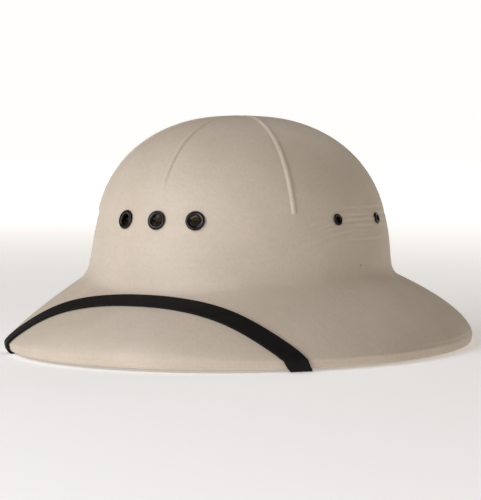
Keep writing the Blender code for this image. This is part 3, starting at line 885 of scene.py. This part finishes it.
def soften(values, along, reach):
    """Even out values that change along the strap, over a reach in metres."""
    weights = np.exp(-((along[:, None] - along[None, :]) / reach) ** 2) * np.gradient(along)[None, :]
    return (weights @ values) / weights.sum(axis=1, keepdims=True)


def lay(way, edge):
    """The ribbon's points by station and side, kept square to its way except at the fold."""
    middle = np.array([point for point, normal, fold in way])
    along = np.concatenate([[0], np.cumsum(np.linalg.norm(np.diff(middle, axis=0), axis=1))])
    wide, thick = [], []
    for i, (point, normal, fold) in enumerate(way):
        ahead = (way[min(i + 1, len(way) - 1)][0] - way[max(i - 1, 0)][0]).normalized()
        square = ahead.cross(normal).normalized()
        across = (square * (1 - fold.length) + fold).normalized()
        thick.append(across.cross(ahead).normalized())
        wide.append(across / across.cross(ahead).length)
    wide = soften(np.array(wide), along, TWIST_REACH)
    thick = soften(np.array(thick), along, BEND_REACH)
    thick /= np.linalg.norm(thick, axis=1, keepdims=True)
    return np.array([middle + wide * e.x + thick * e.y for e in edge]).transpose(1, 0, 2)


edge = ribbon_edge()
strap = start_mesh("strap", bpy.ops.mesh.primitive_circle_add, vertices=len(edge), radius=5 * MM,
                   fill_type="NGON")
bpy.ops.object.mode_set(mode="EDIT")
bpy.ops.mesh.select_all(action="SELECT")
for station in strap_way[1:]:
    bpy.ops.mesh.extrude_region_move(TRANSFORM_OT_translate={"value": (0, 0, MM)})
bpy.ops.object.mode_set(mode="OBJECT")
points = points_of(strap)
rows = np.round(points[:, 2] / MM).astype(int)
turns = np.arctan2(-points[:, 0], points[:, 1]) / (2 * math.pi)
sides = np.round(turns * len(edge)).astype(int) % len(edge)
laid = lay(strap_way, edge)
move_points(strap, laid[rows, sides])
edit((bpy.ops.mesh.normals_make_consistent, {"inside": False}))

# %% [markdown]
# The strap is a coated ribbon with a dull, finely grained face. It has hardly any highlight, so it
# reads as one black line over the brim, a shade lighter where it was rubbed.

# %% Black strap
# The real grain is finer than a pixel here, so it is drawn at 1.8 mm.
webbing, tree, shader = new_finish("matt_black_strap", Roughness=0.7, IOR=1.4, Specular_IOR_Level=0.3)
place = add(tree, "TexCoord", {}).outputs["Object"]
grain = add(tree, "TexVoronoi", {"Vector": place, "Scale": 560.0}, feature="SMOOTH_F1")
wear = add(tree, "TexNoise", {"Vector": place, "Scale": 130, "Detail": 4.0})
tone = add(tree, "ValToRGB", {"Fac": wear.outputs["Fac"]}, stops=((0.35, "#0c090a"), (0.75, "#161212")))
tree.links.new(tone.outputs[0], shader.inputs["Base Color"])
rub = add(tree, "MapRange", {"Value": wear.outputs["Fac"], "To Min": 0.62, "To Max": 0.8})
tree.links.new(rub.outputs[0], shader.inputs["Roughness"])
leather = add(tree, "Bump", {"Height": grain.outputs["Distance"], "Distance": 0.00015, "Strength": 0.6})
tree.links.new(leather.outputs[0], shader.inputs["Normal"])
finish_piece(strap, "chin_strap_ribbon", [webbing], ["chin_strap"], angle=50)

# %% [markdown]
# ## Studio
# The helmet lies on a wide floor of pale backdrop paper. The paper is painted light: it glows, dimly near
# the helmet and brighter further out, and the sky glows low down, so floor and sky meet without a line,
# yet little of that light reaches the helmet. One soft lamp from the front left models the crown, one
# from low in front opens the brim, and a weak one from behind edges the shaded side.

# %% Floor
FLOOR_RADIUS = 30.0
floor = start_mesh("floor", bpy.ops.mesh.primitive_circle_add, vertices=96, radius=FLOOR_RADIUS,
                   fill_type="NGON")
paper, tree, shader = new_finish("backdrop_paper_painted_glow", Roughness=0.9)
shader.inputs["Base Color"].default_value = linear("#fbfbfb")
# Painted light: the paper itself glows, from 0.29 near the helmet to 1.0 about 3 m out, so it reads white
# without a lamp on it.
shader.inputs["Emission Color"].default_value = linear("#fffdfa")
place = add(tree, "TexCoord", {}).outputs["Object"]
distance = add(tree, "VectorMath", {0: place}, operation="LENGTH").outputs["Value"]
glow = add(tree, "MapRange", {"Value": distance, "From Min": 0.1, "From Max": 3.2, "To Min": 0.29,
                              "To Max": 1.0}, interpolation_type="SMOOTHSTEP")
tree.links.new(glow.outputs[0], shader.inputs["Emission Strength"])
fibres = add(tree, "TexNoise", {"Vector": place, "Scale": 900, "Detail": 2.0})
tooth = add(tree, "Bump", {"Height": fibres.outputs["Fac"], "Distance": 0.00005, "Strength": 0.3})
tree.links.new(tooth.outputs[0], shader.inputs["Normal"])
floor.data.materials.append(paper)
print("floor", 2 * FLOOR_RADIUS, "m across")

# %% Lights
LAMP_DISTANCE, LAMP_SIZE = 1.8, 0.9


def light(name, azimuth, elevation, power, tint="#ffffff"):
    """A square soft lamp that looks at the helmet and stays out of the picture."""
    lamp = bpy.data.objects.new(name, bpy.data.lights.new(name, "AREA"))
    bpy.context.scene.collection.objects.link(lamp)
    a, e = math.radians(azimuth), math.radians(elevation)
    way = Vector((math.sin(a) * math.cos(e), -math.cos(a) * math.cos(e), math.sin(e)))
    lamp.location = TARGET + way * LAMP_DISTANCE
    lamp.rotation_euler = (-way).to_track_quat("-Z", "Y").to_euler()
    lamp.data.size = LAMP_SIZE
    lamp.data.energy = power
    lamp.data.color = linear(tint)[:3]
    lamp.visible_camera = False
    print(name, "light at", [round(v, 2) for v in lamp.location])


light("key", -30, 40, 8.5, "#f2f6ff")
light("front", -10, 15, 12.5, "#f4f8ff")
light("rear", 180, 40, 3.5)

# %% Sky
world = bpy.data.worlds.new("studio")
bpy.context.scene.world = world
world.use_nodes = True
tree = world.node_tree
sky = tree.nodes["Background"]
direction = add(tree, "TexCoord", {}).outputs["Generated"]
height = add(tree, "SeparateXYZ", {"Vector": direction}).outputs["Z"]
# Above the bright band the sky is dim and a little warm, as the shaded side of the helmet is.
tone = add(tree, "ValToRGB", {"Fac": height}, stops=((0.09, "#fffefc"), (0.2, "#746b61")))
tree.links.new(tone.outputs[0], sky.inputs["Color"])
bpy.context.scene.view_settings.view_transform = "Standard"
